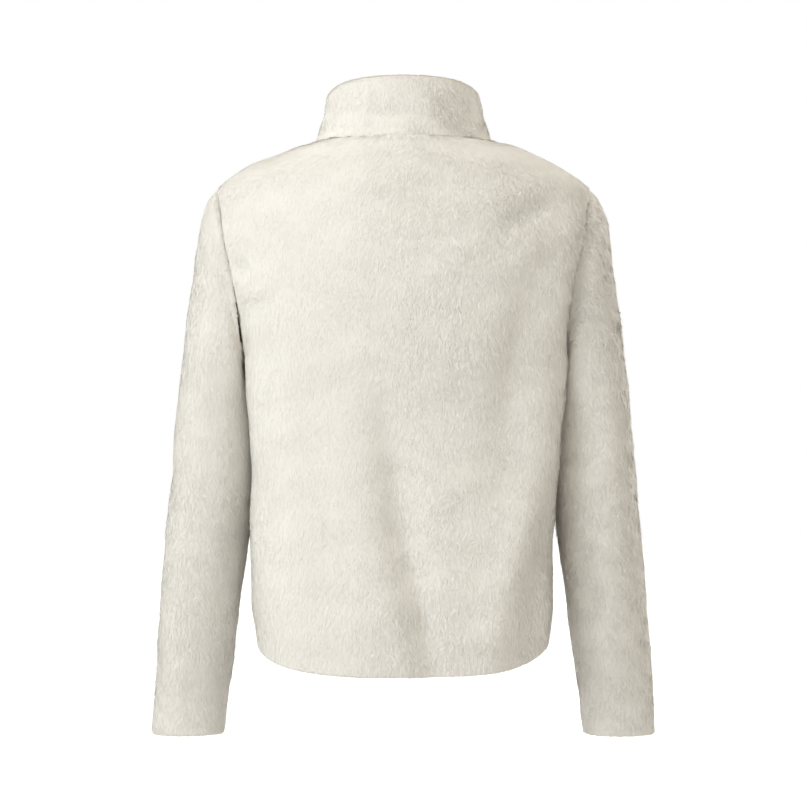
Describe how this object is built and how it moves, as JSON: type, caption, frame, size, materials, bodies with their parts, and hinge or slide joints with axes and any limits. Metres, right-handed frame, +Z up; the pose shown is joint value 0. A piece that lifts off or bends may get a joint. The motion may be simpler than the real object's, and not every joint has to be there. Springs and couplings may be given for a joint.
{
  "type": "fleece jacket",
  "caption": "Plush fleece jacket, filled out as worn: straight body, long set-in sleeves, stand collar and closed front zip.",
  "frame": {"origin": "middle of the neck base, level with the high shoulder points, where the wearer's neck carries the jacket", "axes": "+Z up, front faces -Y, the wearer's left is +X"},
  "size_m": [0.616, 0.2455, 0.7896],
  "materials": {
    "fleece": "ivory high-pile plush fleece, soft sheen along the nap",
    "zip_tape": "ivory woven polyester tape",
    "zip_resin": "ivory moulded resin teeth and box",
    "zip_metal": "plain satin nickel slider and pull"
  },
  "bodies": {
    "garment": {"back": "fleece", "front_left": "fleece", "front_right": "fleece", "sleeve_left": "fleece", "sleeve_right": "fleece", "collar": "fleece", "zip_tape_left": "zip_tape", "zip_tape_right": "zip_tape", "zip_chain": "zip_resin", "zip_box": "zip_resin", "zip_slider": "zip_metal"},
    "pull": {"zip_pull": "zip_metal"}
  },
  "joints": [
    {"name": "pull_hinge", "type": "hinge", "parent": "garment", "child": "pull", "pos_m": [0, -0.07739, -0.01328], "axis": [-1, 0, 0], "range_deg": [0, 170]}
  ]
}
